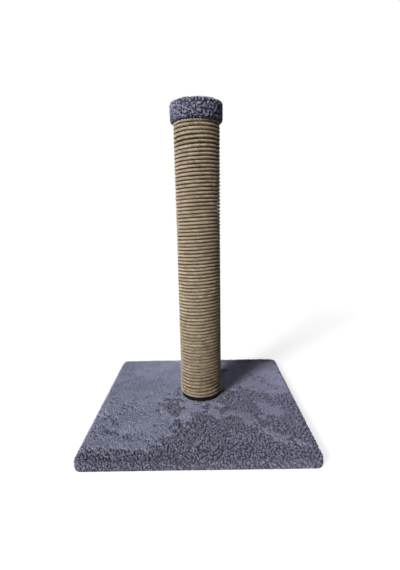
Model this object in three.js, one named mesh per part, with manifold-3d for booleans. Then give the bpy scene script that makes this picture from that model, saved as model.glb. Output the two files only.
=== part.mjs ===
// Cat scratching post: a plush-covered base board, a cardboard post wound with rope, and a
// plush-covered round cap.
//
// Units are millimetres. +Z is up, +X is to the right and +Y is to the back, seen from the front.
// The origin is the middle of the underside of the base, on the floor.

import * as THREE from 'three';
import { mergeVertices } from 'three/addons/utils/BufferGeometryUtils.js';
import Module from 'manifold-3d';

const wasm = await Module();
wasm.setup();

// ---------------------------------------------------------------- Driving dimensions

// Space left between a piece and the one it touches, and how far a cutting shape overshoots a face.
const contactGap = 0.3;
const cutOvershoot = 1;

// Base: plush over a square board, with its edge turned under and a liner inside that hem.
const baseWidth = 400;
const boardThickness = 15;
const boardCornerRadius = 15;
const plushThickness = 5.4;
const baseTopEdgeRadius = 8;
const baseBottomEdgeRadius = 5;
const hemWidth = 32;
const hemThickness = 2;
const linerThickness = 1.5;
const linerEdgeGap = 0.5;
const linerHoleMargin = 3;

// Where the post stands on the base, from the middle.
const postOffsetX = 5.5;
const postOffsetY = 25;

// Post tube and its two moulded end plugs.
const tubeLength = 524;
const tubeOuterRadius = 36;
const tubeWall = 6.5;
const spigotLength = 30;
const spigotWall = 4;
const plugBossWall = 3.2;
const footFlangeOverhang = 4;
const footFlangeThickness = 8.7;
const pressedPlushThickness = 1.4;
const topFlangeThickness = 3;

// Rope winding.
const ropeDiameter = 6.4;
const ropeSpacing = 0.25;
const ropeStartAngle = THREE.MathUtils.degToRad(45);

// Fasteners.
const boltRadius = 4;
const boltLength = 40;
const boltHeadAcrossFlats = 13;
const boltHeadHeight = 5.3;
const washerRadius = 12;
const washerThickness = 2;
const boltHeadRecess = 0.4;
const counterboreMargin = 1;
const insertWall = 1.2;
const insertLength = 20;
const footInsertRecess = 4;
const studLengthInInsert = 18;
const studLengthInBoard = 18;
const stapleCrown = 10;
const stapleWireWidth = 1.2;
const stapleWireThickness = 0.7;
const hemStapleLeg = 8;
const hemStapleSink = 0.4;
const hemStaplesPerSide = 3;
const hemStapleSpacing = 130;
const plugStapleLeg = 10;
const plugStapleSink = 0.6;
const plugStaplesPerEnd = 3;
const ropeStapleBite = 4;
const ropeStapleSink = 1.4;
const capStapleLeg = 12;
const capStapleCount = 6;

// Cap: plush over a round board.
const capBoardOverhang = 1;
const capBoardThickness = 22;
const capHemWidth = 25;
const capTopEdgeRadius = 10;
const capBottomEdgeRadius = 8;

// How finely round things are divided.
const roundSegments = 40;
const boreSegments = 20;
const cornerSegments = 5;
const edgeSegments = 4;

// Winding division: each modelled loop is a band of several rope turns lying side by side.
const turnsPerLoop = 4;
const stepsPerLoop = 20;
const loopGap = 0.6;

// ---------------------------------------------------------------- Levels and radii that follow

const boardBottom = hemThickness + contactGap;
const boardTop = boardBottom + boardThickness;
const boardWidth = baseWidth - 2 * (plushThickness + contactGap);
const plushInside = boardTop + contactGap;
const baseTop = plushInside + plushThickness;

const boltHeadTop = boardBottom + boltHeadRecess + boltHeadHeight;
const washerBottom = boltHeadTop + contactGap;
const counterboreTop = washerBottom + washerThickness + contactGap;
const counterboreRadius = washerRadius + counterboreMargin;
const boltHoleRadius = boltRadius + contactGap;
const insertRadius = boltHoleRadius + insertWall;
const insertHoleRadius = insertRadius + contactGap;
const plugBossRadius = insertHoleRadius + plugBossWall;

const footSeat = plushInside + pressedPlushThickness;
const footPlugBottom = footSeat + contactGap;
const footFlangeTop = footPlugBottom + footFlangeThickness;
const tubeBottom = footFlangeTop + contactGap;
const tubeTop = tubeBottom + tubeLength;
const topFlangeBottom = tubeTop + contactGap;
const topPlugTop = topFlangeBottom + topFlangeThickness;
const tubeBoreRadius = tubeOuterRadius - tubeWall;
const spigotRadius = tubeBoreRadius - contactGap;
const footFlangeRadius = tubeOuterRadius + footFlangeOverhang;

const windingBottom = tubeBottom;
const windingTop = topPlugTop;
const ropeInnerRadius = tubeOuterRadius + contactGap;
const ropeOuterRadius = ropeInnerRadius + ropeDiameter;
const turnCount = Math.floor((windingTop - windingBottom) / (ropeDiameter + ropeSpacing));
const ropePitch = (windingTop - windingBottom) / turnCount;

const capBottom = topPlugTop + contactGap;
const capBoardBottom = capBottom + plushThickness + contactGap;
const capBoardTop = capBoardBottom + capBoardThickness;
const capBoardRadius = ropeOuterRadius + capBoardOverhang;
const capInsideRadius = capBoardRadius + contactGap;
const capRadius = capInsideRadius + plushThickness;
const capHemInnerRadius = capRadius - capHemWidth;
const capInsideTop = capBoardTop + contactGap;
const capTop = capInsideTop + plushThickness;
const studBottom = topPlugTop - studLengthInInsert;
const studTop = capBoardBottom + studLengthInBoard;

// ---------------------------------------------------------------- Materials

const materials = {
  plush: new THREE.MeshStandardMaterial({ color: 0x6f7086, roughness: 1, metalness: 0 }),
  rope: new THREE.MeshStandardMaterial({ color: 0xa68f6a, roughness: 0.95, metalness: 0 }),
  board: new THREE.MeshStandardMaterial({ color: 0xb08d62, roughness: 0.85, metalness: 0 }),
  cardboard: new THREE.MeshStandardMaterial({ color: 0x9a7650, roughness: 0.9, metalness: 0 }),
  liner: new THREE.MeshStandardMaterial({ color: 0x26262b, roughness: 1, metalness: 0 }),
  blackPlastic: new THREE.MeshStandardMaterial({ color: 0x141416, roughness: 0.55, metalness: 0 }),
  zincSteel: new THREE.MeshStandardMaterial({ color: 0xb4b6b8, roughness: 0.35, metalness: 1 }),
  brass: new THREE.MeshStandardMaterial({ color: 0xb99a55, roughness: 0.35, metalness: 1 }),
};

// ---------------------------------------------------------------- Solid helpers

// Turns a closed geometry into a solid that can be cut, without its collapsed triangles.
function toSolid(geometry) {
  const bare = geometry.clone();
  bare.deleteAttribute('normal');
  bare.deleteAttribute('uv');
  const merged = mergeVertices(bare);
  const corners = merged.index.array;
  const kept = [];
  for (let i = 0; i < corners.length; i += 3) {
    const [a, b, c] = [corners[i], corners[i + 1], corners[i + 2]];
    if (a !== b && b !== c && c !== a) {
      kept.push(a, b, c);
    }
  }
  return new wasm.Manifold(new wasm.Mesh({
    numProp: 3,
    vertProperties: merged.attributes.position.array,
    triVerts: new Uint32Array(kept),
  }));
}

function toGeometry(solid) {
  const { vertProperties, triVerts } = solid.getMesh();
  const geometry = new THREE.BufferGeometry();
  geometry.setAttribute('position', new THREE.BufferAttribute(vertProperties, 3));
  geometry.setIndex(new THREE.BufferAttribute(triVerts, 1));
  geometry.computeVertexNormals();
  return geometry;
}

// Cuts every tool out of a body. All of them are geometries in the same frame.
function cut(body, tools) {
  const left = tools.reduce((solid, tool) => solid.subtract(toSolid(tool)), toSolid(body));
  return toGeometry(left);
}

// Revolves an outline of [radius, height] points about the Z axis.
function revolve(outline, segments) {
  const points = outline.map(([radius, height]) => new THREE.Vector2(radius, height));
  return new THREE.LatheGeometry(points, segments).rotateX(Math.PI / 2);
}

// Upright cylinder about the Z axis, between two heights.
function cylinder(radius, bottom, top, segments = boreSegments) {
  return new THREE.CylinderGeometry(radius, radius, top - bottom, segments)
    .rotateX(Math.PI / 2)
    .translate(0, 0, (bottom + top) / 2);
}

// Round ring with a bore, between two heights.
function ring(outerRadius, innerRadius, bottom, top, segments) {
  return revolve([
    [innerRadius, bottom],
    [outerRadius, bottom],
    [outerRadius, top],
    [innerRadius, top],
    [innerRadius, bottom],
  ], segments);
}

// Square outline with round corners, counter-clockwise, about the Z axis.
function roundedSquarePoints(width, cornerRadius) {
  const points = [];
  const centre = width / 2 - cornerRadius;
  for (let corner = 0; corner < 4; corner += 1) {
    const cornerAngle = (corner * Math.PI) / 2;
    const cornerX = centre * Math.SQRT2 * Math.cos(cornerAngle + Math.PI / 4);
    const cornerY = centre * Math.SQRT2 * Math.sin(cornerAngle + Math.PI / 4);
    for (let step = 0; step <= cornerSegments; step += 1) {
      const angle = cornerAngle + (step / cornerSegments) * (Math.PI / 2);
      points.push(new THREE.Vector2(
        cornerX + cornerRadius * Math.cos(angle),
        cornerY + cornerRadius * Math.sin(angle),
      ));
    }
  }
  return points;
}

// Slab with upright sides on a rounded square, between two heights.
function squareSlab(width, cornerRadius, bottom, top) {
  const shape = new THREE.Shape(roundedSquarePoints(width, cornerRadius));
  return new THREE.ExtrudeGeometry(shape, { depth: top - bottom, bevelEnabled: false })
    .translate(0, 0, bottom);
}

// Closed skin through rings of points: each ring has the same number of points, and the first and
// last rings are closed by a fan from their middle.
function loft(rings) {
  const count = rings[0].length;
  const positions = rings.flat().flatMap((point) => point.toArray());
  const triangles = [];
  for (let level = 0; level + 1 < rings.length; level += 1) {
    for (let i = 0; i < count; i += 1) {
      const next = (i + 1) % count;
      const low = level * count;
      const high = low + count;
      triangles.push(low + i, low + next, high + next);
      triangles.push(low + i, high + next, high + i);
    }
  }
  const middleOf = (points) => points
    .reduce((sum, point) => sum.add(point), new THREE.Vector3())
    .divideScalar(count);
  positions.push(...middleOf(rings[0]).toArray(), ...middleOf(rings.at(-1)).toArray());
  const firstMiddle = rings.length * count;
  const lastMiddle = firstMiddle + 1;
  const lastRing = (rings.length - 1) * count;
  for (let i = 0; i < count; i += 1) {
    const next = (i + 1) % count;
    triangles.push(firstMiddle, next, i);
    triangles.push(lastMiddle, lastRing + i, lastRing + next);
  }
  const geometry = new THREE.BufferGeometry();
  geometry.setAttribute('position', new THREE.Float32BufferAttribute(positions, 3));
  geometry.setIndex(triangles);
  geometry.computeVertexNormals();
  return geometry;
}

// Quarter turn of an edge rounding, as [inset, rise] pairs from startAngle on.
function edgeArc(radius, startAngle) {
  const arc = [];
  for (let step = 0; step <= edgeSegments; step += 1) {
    const angle = startAngle + (step / edgeSegments) * (Math.PI / 2);
    arc.push([radius * Math.cos(angle), radius * Math.sin(angle)]);
  }
  return arc;
}

// ---------------------------------------------------------------- Staples

// Staple with its crown along X, its legs pointing up +Z, and the face of its crown at z = 0.
// The clearance grows it into the slot that it sits in, which then opens below the crown by relief.
function stapleGeometry(legLength, clearance = 0, relief = 0) {
  const outer = stapleCrown / 2 + clearance;
  const inner = stapleCrown / 2 - stapleWireThickness - clearance;
  const crownBack = stapleWireThickness + clearance;
  const tip = legLength + clearance;
  const width = stapleWireWidth + 2 * clearance;
  const outline = new THREE.Shape([
    new THREE.Vector2(-outer, -relief),
    new THREE.Vector2(outer, -relief),
    new THREE.Vector2(outer, tip),
    new THREE.Vector2(inner, tip),
    new THREE.Vector2(inner, crownBack),
    new THREE.Vector2(-inner, crownBack),
    new THREE.Vector2(-inner, tip),
    new THREE.Vector2(-outer, tip),
  ]);
  return new THREE.ExtrudeGeometry(outline, { depth: width, bevelEnabled: false })
    .rotateX(Math.PI / 2)
    .translate(0, width / 2, 0);
}

// A staple is held as its name, leg length, placement and how deep its crown lies below the face.
function makeStaple({ name, legLength, placement }) {
  const mesh = new THREE.Mesh(stapleGeometry(legLength), materials.zincSteel);
  mesh.name = name;
  mesh.applyMatrix4(placement);
  return mesh;
}

// The slot that a staple needs in the pieces that it goes through, in the staple's own frame.
function stapleSlot({ legLength, placement, sink }) {
  return stapleGeometry(legLength, contactGap, sink + cutOvershoot).applyMatrix4(placement);
}

// Staple driven upwards, its crown turned about Z.
function upwardPlacement(x, y, z, turn) {
  return new THREE.Matrix4().makeTranslation(x, y, z)
    .multiply(new THREE.Matrix4().makeRotationZ(turn));
}

// Staple driven towards the Z axis, its crown level and its face at the given radius.
function inwardPlacement(angle, radius, z) {
  const inward = new THREE.Vector3(-Math.cos(angle), -Math.sin(angle), 0);
  const up = new THREE.Vector3(0, 0, 1);
  const along = new THREE.Vector3().crossVectors(up, inward);
  return new THREE.Matrix4()
    .makeBasis(along, up, inward)
    .setPosition(-radius * inward.x, -radius * inward.y, z);
}

// Staples that hold the base hem, in rows along its four sides.
function listHemStaples() {
  const sides = ['front', 'right', 'back', 'left'];
  const hemMiddle = baseWidth / 2 - hemWidth / 2;
  const staples = [];
  sides.forEach((side, sideNumber) => {
    const turn = (sideNumber * Math.PI) / 2;
    const sideTurn = new THREE.Matrix4().makeRotationZ(turn);
    for (let i = 0; i < hemStaplesPerSide; i += 1) {
      const along = (i - (hemStaplesPerSide - 1) / 2) * hemStapleSpacing;
      staples.push({
        name: `base_staple_${side}_${i + 1}`,
        legLength: hemStapleLeg,
        sink: hemStapleSink,
        placement: upwardPlacement(along, -hemMiddle, hemStapleSink, 0).premultiply(sideTurn),
      });
    }
  });
  return staples;
}

// Staples shot through the tube wall into the spigot of a plug.
function listPlugStaples(end, height) {
  const staples = [];
  for (let i = 0; i < plugStaplesPerEnd; i += 1) {
    const angle = (i / plugStaplesPerEnd) * 2 * Math.PI;
    staples.push({
      name: `${end}_plug_staple_${i + 1}`,
      legLength: plugStapleLeg,
      sink: plugStapleSink,
      placement: inwardPlacement(angle, tubeOuterRadius - plugStapleSink, height),
    });
  }
  return staples;
}

// Staples that hold the gathered hem of the cap cover against the underside of the cap board.
function listCapStaples() {
  const radius = (capHemInnerRadius + capBoardRadius) / 2;
  const staples = [];
  for (let i = 0; i < capStapleCount; i += 1) {
    const angle = ((i + 0.5) / capStapleCount) * 2 * Math.PI;
    staples.push({
      name: `cap_staple_${i + 1}`,
      legLength: capStapleLeg,
      sink: hemStapleSink,
      placement: upwardPlacement(
        radius * Math.cos(angle),
        radius * Math.sin(angle),
        capBottom + hemStapleSink,
        angle + Math.PI / 2,
      ),
    });
  }
  return staples;
}

// ---------------------------------------------------------------- Rope winding

// Route of the band's middle, which starts one turn below the winding's foot and ends one turn
// above its top: trimmed flat there, the band leaves a single rope turn high at each end.
const routeBottom = windingBottom + ropePitch - (turnsPerLoop * ropePitch) / 2;
const routeTop = windingTop - ropePitch + (turnsPerLoop * ropePitch) / 2;
const loopPitch = turnsPerLoop * ropePitch;
const routeSteps = Math.round(((routeTop - routeBottom) / loopPitch) * stepsPerLoop);
const ropeEndAngle = ropeStartAngle + (routeSteps / stepsPerLoop) * 2 * Math.PI;

// Section of the band as [radius, height] points: one ridge for each rope turn, a groove between
// neighbours as deep as the rope's middle, and a flat back against the tube.
function bandSection() {
  const backRadius = ropeInnerRadius / Math.cos(Math.PI / stepsPerLoop);
  const grooveRadius = ropeOuterRadius - ropeDiameter / 2;
  const backHalf = (loopPitch - loopGap) / 2;
  const section = [[backRadius, backHalf]];
  for (let turn = 0; turn < turnsPerLoop; turn += 1) {
    const ridge = ((turnsPerLoop - 1) / 2 - turn) * ropePitch;
    section.push([ropeOuterRadius, ridge]);
    if (turn + 1 < turnsPerLoop) {
      section.push([grooveRadius, ridge - ropePitch / 2]);
    }
  }
  section.push([backRadius, -backHalf]);
  return section;
}

// Section points at an angle round the post, moved along the tangent by a straight run.
function bandRing(section, angle, middle, straightRun = 0) {
  return section.map(([radius, height]) => new THREE.Vector3(
    radius * Math.cos(angle) - straightRun * Math.sin(angle),
    radius * Math.sin(angle) + straightRun * Math.cos(angle),
    middle + height,
  ));
}

// Least distance between points of a loop and points of the next loop, one loop further on.
function leastLoopGap(rings) {
  let least = Infinity;
  for (let i = 0; i + stepsPerLoop < rings.length; i += 1) {
    for (const point of rings[i]) {
      for (const other of rings[i + stepsPerLoop]) {
        least = Math.min(least, point.distanceTo(other));
      }
    }
  }
  return least;
}

// The winding is one unbroken band that climbs right-handed round the tube. Both of its ends run
// straight for one rope diameter.
function ropeWindingGeometry(staples) {
  const section = bandSection();
  const rings = [];
  for (let step = 0; step <= routeSteps; step += 1) {
    const share = step / routeSteps;
    const angle = THREE.MathUtils.lerp(ropeStartAngle, ropeEndAngle, share);
    rings.push(bandRing(section, angle, THREE.MathUtils.lerp(routeBottom, routeTop, share)));
  }
  const loops = routeSteps / stepsPerLoop;
  const gap = leastLoopGap(rings);
  console.log(`rope winding: ${turnCount} turns in ${loops.toFixed(2)} loops, `
    + `least gap ${gap.toFixed(2)} mm`);
  rings.unshift(bandRing(section, ropeStartAngle, routeBottom, -ropeDiameter));
  rings.push(bandRing(section, ropeEndAngle, routeTop, ropeDiameter));
  const room = cylinder(2 * ropeOuterRadius, windingBottom, windingTop);
  const trimmed = toSolid(loft(rings)).intersect(toSolid(room));
  return cut(toGeometry(trimmed), staples.map(stapleSlot));
}

// Staples driven through the rope near each of its ends, into the tube: through the lowest turn,
// and through the highest turn that lies below the top plug's flange.
function listRopeStaples() {
  const setBack = stapleCrown / ropeOuterRadius;
  const radius = ropeOuterRadius - ropeStapleSink;
  const legLength = radius - (tubeOuterRadius - ropeStapleBite);
  const turnsOverFlange = Math.ceil((windingTop - tubeTop + stapleWireWidth) / ropePitch);
  const footHeight = windingBottom + ropePitch / 2;
  const topHeight = windingTop - (turnsOverFlange + 0.5) * ropePitch;
  return [
    {
      name: 'rope_staple_foot',
      legLength,
      sink: ropeStapleSink,
      placement: inwardPlacement(ropeStartAngle + setBack, radius, footHeight),
    },
    {
      name: 'rope_staple_top',
      legLength,
      sink: ropeStapleSink,
      placement: inwardPlacement(ropeEndAngle - setBack, radius, topHeight),
    },
  ];
}

// ---------------------------------------------------------------- Base pieces

// Cylinder about the post's axis, in the frame of the base.
function postCylinder(radius, bottom, top, segments) {
  return cylinder(radius, bottom, top, segments).translate(postOffsetX, postOffsetY, 0);
}

function baseBoardGeometry(staples) {
  return cut(squareSlab(boardWidth, boardCornerRadius, boardBottom, boardTop), [
    postCylinder(boltHoleRadius, boardBottom - cutOvershoot, boardTop + cutOvershoot),
    postCylinder(counterboreRadius, boardBottom - cutOvershoot, counterboreTop),
    ...staples.map(stapleSlot),
  ]);
}

// Plush skin: rounded at its top and bottom edges, hollow where the board is, open inside the hem,
// pressed down under the foot of the post.
function baseCoverGeometry(staples) {
  const cornerRadius = boardCornerRadius + contactGap + plushThickness;
  const edge = (inset, height) => roundedSquarePoints(baseWidth - 2 * inset, cornerRadius - inset)
    .map((point) => new THREE.Vector3(point.x, point.y, height));
  const bottomEdge = edgeArc(baseBottomEdgeRadius, -Math.PI / 2).map(([out, rise]) => edge(
    baseBottomEdgeRadius - out,
    baseBottomEdgeRadius + rise,
  ));
  const topEdge = edgeArc(baseTopEdgeRadius, 0).map(([out, rise]) => edge(
    baseTopEdgeRadius - out,
    baseTop - baseTopEdgeRadius + rise,
  ));
  const hollow = squareSlab(
    boardWidth + 2 * contactGap,
    boardCornerRadius + contactGap,
    hemThickness,
    plushInside,
  );
  const hemOpening = squareSlab(
    baseWidth - 2 * hemWidth,
    boardCornerRadius,
    -cutOvershoot,
    hemThickness + cutOvershoot,
  );
  return cut(loft([...bottomEdge, ...topEdge]), [
    hollow,
    hemOpening,
    postCylinder(footFlangeRadius + contactGap, footSeat, baseTop + cutOvershoot, roundSegments),
    postCylinder(boltHoleRadius, plushInside - cutOvershoot, footSeat + cutOvershoot),
    ...staples.map(stapleSlot),
  ]);
}

function baseLinerGeometry() {
  const bottom = hemThickness - linerThickness;
  const sheet = squareSlab(
    baseWidth - 2 * (hemWidth + linerEdgeGap),
    boardCornerRadius,
    bottom,
    hemThickness,
  );
  return cut(sheet, [
    postCylinder(
      counterboreRadius + linerHoleMargin,
      bottom - cutOvershoot,
      hemThickness + cutOvershoot,
    ),
  ]);
}

// ---------------------------------------------------------------- Post pieces

function postTubeGeometry(staples) {
  const tube = ring(tubeOuterRadius, tubeBoreRadius, tubeBottom, tubeTop, roundSegments);
  return cut(tube, staples.map(stapleSlot));
}

// End plug at the foot: a thick flange, a hollow spigot that fills the tube's bore and a boss for
// the insert. Its cup opens upwards, into the tube.
function footPlugGeometry(staples) {
  const spigotTop = tubeBottom + spigotLength;
  const bossTop = footPlugBottom + footInsertRecess + insertLength;
  const cupRadius = spigotRadius - spigotWall;
  const body = revolve([
    [insertHoleRadius, footPlugBottom],
    [footFlangeRadius, footPlugBottom],
    [footFlangeRadius, footFlangeTop],
    [spigotRadius, footFlangeTop],
    [spigotRadius, spigotTop],
    [cupRadius, spigotTop],
    [cupRadius, footFlangeTop],
    [plugBossRadius, footFlangeTop],
    [plugBossRadius, bossTop],
    [insertHoleRadius, bossTop],
    [insertHoleRadius, footPlugBottom],
  ], roundSegments);
  return cut(body, staples.map(stapleSlot));
}

// End plug at the top: the same spigot and boss under a thin flange that ends flush with the tube.
function topPlugGeometry(staples) {
  const spigotBottom = tubeTop - spigotLength;
  const bossBottom = topPlugTop - insertLength;
  const cupRadius = spigotRadius - spigotWall;
  const body = revolve([
    [insertHoleRadius, bossBottom],
    [plugBossRadius, bossBottom],
    [plugBossRadius, topFlangeBottom],
    [cupRadius, topFlangeBottom],
    [cupRadius, spigotBottom],
    [spigotRadius, spigotBottom],
    [spigotRadius, topFlangeBottom],
    [tubeOuterRadius, topFlangeBottom],
    [tubeOuterRadius, topPlugTop],
    [insertHoleRadius, topPlugTop],
    [insertHoleRadius, bossBottom],
  ], roundSegments);
  return cut(body, staples.map(stapleSlot));
}

// Threaded insert, its thread left plain.
function insertGeometry(bottom) {
  return ring(insertRadius, boltHoleRadius, bottom, bottom + insertLength, boreSegments);
}

// Hexagon bolt that stands on its head, its thread left plain.
function footBoltGeometry() {
  const headRadius = boltHeadAcrossFlats / (2 * Math.cos(Math.PI / 6));
  const head = cylinder(headRadius, boltHeadTop - boltHeadHeight, boltHeadTop, 6);
  const shank = cylinder(boltRadius, boltHeadTop - cutOvershoot, boltHeadTop + boltLength);
  return toGeometry(toSolid(head).add(toSolid(shank)));
}

function footWasherGeometry() {
  const washerTop = washerBottom + washerThickness;
  return ring(washerRadius, boltHoleRadius, washerBottom, washerTop, roundSegments);
}

// ---------------------------------------------------------------- Cap pieces

function capStudGeometry() {
  return cylinder(boltRadius, studBottom, studTop);
}

// Round board with a blind hole for the stud.
function capBoardGeometry(staples) {
  const body = cylinder(capBoardRadius, capBoardBottom, capBoardTop, roundSegments);
  return cut(body, [
    cylinder(boltHoleRadius, capBoardBottom - cutOvershoot, studTop + contactGap),
    ...staples.map(stapleSlot),
  ]);
}

// Plush skin over the round board, rounded at both edges, its hem gathered in under the board.
function capCoverGeometry(staples) {
  const bottomEdge = edgeArc(capBottomEdgeRadius, -Math.PI / 2).map(([out, rise]) => [
    capRadius - capBottomEdgeRadius + out,
    capBottom + capBottomEdgeRadius + rise,
  ]);
  const topEdge = edgeArc(capTopEdgeRadius, 0).map(([out, rise]) => [
    capRadius - capTopEdgeRadius + out,
    capTop - capTopEdgeRadius + rise,
  ]);
  const hemTop = capBottom + plushThickness;
  const body = revolve([
    [0, capInsideTop],
    [capInsideRadius, capInsideTop],
    [capInsideRadius, hemTop],
    [capHemInnerRadius, hemTop],
    [capHemInnerRadius, capBottom],
    ...bottomEdge,
    ...topEdge,
    [0, capTop],
  ], roundSegments);
  return cut(body, staples.map(stapleSlot));
}

// ---------------------------------------------------------------- Assembly

function piece(name, geometry, material) {
  const mesh = new THREE.Mesh(geometry, material);
  mesh.name = name;
  return mesh;
}

function buildBase() {
  const hemStaples = listHemStaples();
  const base = new THREE.Group();
  base.name = 'base';
  base.add(
    piece('base_board', baseBoardGeometry(hemStaples), materials.board),
    piece('base_cover', baseCoverGeometry(hemStaples), materials.plush),
    piece('base_liner', baseLinerGeometry(), materials.liner),
    ...hemStaples.map(makeStaple),
  );
  return base;
}

function buildPost() {
  const footStaples = listPlugStaples('foot', tubeBottom + spigotLength / 2);
  const topStaples = listPlugStaples('top', tubeTop - spigotLength / 2);
  const ropeStaples = listRopeStaples();
  const tubeStaples = [...footStaples, ...topStaples, ...ropeStaples];
  const footInsertBottom = footPlugBottom + footInsertRecess;
  const post = new THREE.Group();
  post.name = 'post';
  post.add(
    piece('post_tube', postTubeGeometry(tubeStaples), materials.cardboard),
    piece('rope_winding', ropeWindingGeometry(ropeStaples), materials.rope),
    piece('foot_plug', footPlugGeometry([...footStaples, ...ropeStaples]), materials.blackPlastic),
    piece('foot_insert', insertGeometry(footInsertBottom), materials.brass),
    piece('foot_bolt', footBoltGeometry(), materials.zincSteel),
    piece('foot_washer', footWasherGeometry(), materials.zincSteel),
    piece('top_plug', topPlugGeometry([...topStaples, ...ropeStaples]), materials.blackPlastic),
    piece('top_insert', insertGeometry(topPlugTop - insertLength), materials.brass),
    ...tubeStaples.map(makeStaple),
  );
  return post;
}

function buildCap() {
  const capStaples = listCapStaples();
  const cap = new THREE.Group();
  cap.name = 'cap';
  cap.add(
    piece('cap_board', capBoardGeometry(capStaples), materials.board),
    piece('cap_cover', capCoverGeometry(capStaples), materials.plush),
    piece('cap_stud', capStudGeometry(), materials.zincSteel),
    ...capStaples.map(makeStaple),
  );
  return cap;
}

const post = buildPost();
post.add(buildCap());
post.position.set(postOffsetX, postOffsetY, 0);

const scratchingPost = new THREE.Group();
scratchingPost.name = 'cat_scratching_post';
scratchingPost.add(buildBase(), post);

export default scratchingPost;
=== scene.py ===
"""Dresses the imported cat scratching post: plush on the base and the cap, and a laid rope on the post.

The frame is the CAD's: +X to the right, +Y to the back, +Z up, origin on the floor under the base.
Lengths are in metres, and MM turns millimetres into metres.
"""

import itertools
import math
from typing import NamedTuple

import bpy
import numpy as np
from mathutils import Matrix, Vector


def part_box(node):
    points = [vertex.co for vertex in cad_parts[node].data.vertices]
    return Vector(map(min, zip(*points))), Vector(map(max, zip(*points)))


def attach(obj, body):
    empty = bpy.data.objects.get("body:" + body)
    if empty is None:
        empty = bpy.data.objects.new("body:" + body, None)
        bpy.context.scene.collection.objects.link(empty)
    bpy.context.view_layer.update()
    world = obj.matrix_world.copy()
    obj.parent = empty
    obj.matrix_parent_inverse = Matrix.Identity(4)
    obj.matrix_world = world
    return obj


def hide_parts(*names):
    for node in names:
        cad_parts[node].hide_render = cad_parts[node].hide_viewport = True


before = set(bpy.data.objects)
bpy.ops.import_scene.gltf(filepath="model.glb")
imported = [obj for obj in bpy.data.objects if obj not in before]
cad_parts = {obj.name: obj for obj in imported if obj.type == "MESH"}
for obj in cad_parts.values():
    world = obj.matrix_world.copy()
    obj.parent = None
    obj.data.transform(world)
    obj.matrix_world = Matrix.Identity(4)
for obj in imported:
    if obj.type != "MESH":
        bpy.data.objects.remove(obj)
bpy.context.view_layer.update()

MM = 0.001
HALF_TURN = math.pi
TURN = 2 * math.pi
UP = np.array([0, 0, 1.0])
rng = np.random.default_rng(79)

# The base: the cloth lies on the board, and its pile stands out to the size of the cover.
_, cover_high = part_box("base_cover")
BASE_HALF = cover_high.x
BASE_TOP = cover_high.z
BASE_CORNER = 15 * MM
BASE_CORE = BASE_HALF - BASE_CORNER
BASE_LAP = 4 * (2 * BASE_CORE + BASE_CORNER * HALF_TURN / 2)
BASE_COLUMNS = 360
BASE_TOP_STEPS = 56
BASE_PILE = 4 * MM
HEM_WIDTH = 32 * MM
HEM_THICKNESS = 2 * MM
CLOTH = 1.4 * MM
CLOTH_EDGE = 2.4 * MM
HEM_EDGE = 4.4 * MM
BASE_TOP_ROUNDING = 8 * MM
BASE_BOTTOM_ROUNDING = 10 * MM
FLOOR_GAP = 0.1 * MM

# The post: its axis, and the flange of the foot plug that presses the plush down.
tube_low, tube_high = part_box("post_tube")
tube_middle = (tube_low + tube_high) / 2
POST = np.array([tube_middle.x, tube_middle.y])
TUBE_RADIUS = (tube_high.x - tube_low.x) / 2
plug_low, plug_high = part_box("foot_plug")
FLANGE_RADIUS = (plug_high.x - plug_low.x) / 2
BOLT_HOLE = 4.6 * MM

# The rope: three strands, wound so that its rows lie side by side from the flange to the cap.
winding_low, winding_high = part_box("rope_winding")
ROPE_REACH = (winding_high.x - winding_low.x) / 2
ROPE_RADIUS = 3.2 * MM
ROPE_TUBE_GAP = 0.3 * MM
ROPE_ROWS = 79
ROPE_LAY = 15.4 * MM
ROPE_START = math.radians(45)
ROPE_STRANDS = 3
STRAND_RADIUS = 0.48 * ROPE_RADIUS
STRAND_POINTS = 5
STEPS_PER_LAY = 12
# How much more of the painted shade between the rows falls on a row's upper side.
UPPER_SHADE = 1.12
SHORTEST_CLIMB = 0.15
CLIMB_GROWTH = 0.14

# The cap: a disc of board in the same plush, with its hem gathered under it.
cap_low, cap_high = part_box("cap_cover")
CAP_RADIUS = (cap_high.x - cap_low.x) / 2
CAP_CLOTH = 0.8 * MM
CAP_COLUMNS = 144
PINHOLE = 0.2 * MM
CAP_PILE = 4.6 * MM
CAP_TOP_ROUNDING = 10 * MM
CAP_BOTTOM_ROUNDING = 8 * MM
CAP_TOP_EDGE = 1.2 * MM
CAP_HEM_EDGE = CAP_BOTTOM_ROUNDING - CAP_PILE
CAP_HEM_THICKNESS = 5.4 * MM
CAP_HEM_INNER = CAP_RADIUS - 25 * MM
CAP_SETTLE = 2 * MM
CAP_HANG = 1.8 * MM


# ---------------------------------------------------------------- directions and noise


def unit(vectors):
    """Directions, from vectors of any length."""
    return vectors / np.linalg.norm(vectors, axis=-1, keepdims=True)


def headings(angles):
    """Plan directions from angles."""
    return np.stack([np.cos(angles), np.sin(angles)], axis=1)


def quarter_turned(plan):
    """Plan directions turned a quarter turn counter-clockwise, seen from above."""
    return np.stack([-plan[:, 1], plan[:, 0]], axis=1)


def in_space(plan):
    """Plan directions as level directions in space."""
    return np.column_stack([plan, np.zeros(len(plan))])


NOISE_SIZE = 256
noise_order = rng.permutation(NOISE_SIZE)
noise_values = rng.uniform(-1, 1, NOISE_SIZE)


def lattice(cells, seed):
    """One fixed random value in -1..1 for each whole-number cell."""
    found = np.full(len(cells), seed)
    for axis in cells.T:
        found = noise_order[(found + axis.astype(int)) % NOISE_SIZE]
    return noise_values[found]


def noise(places, size, seed=0):
    """Smooth noise in -1..1 whose lumps are about size wide."""
    scaled = np.asarray(places, float) / size
    whole = np.floor(scaled)
    part = scaled - whole
    part = part * part * (3 - 2 * part)
    total = np.zeros(len(scaled))
    for corner in itertools.product((0, 1), repeat=scaled.shape[1]):
        weight = np.prod(np.where(corner, part, 1 - part), axis=1)
        total += weight * lattice(whole + corner, seed)
    return total


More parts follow.
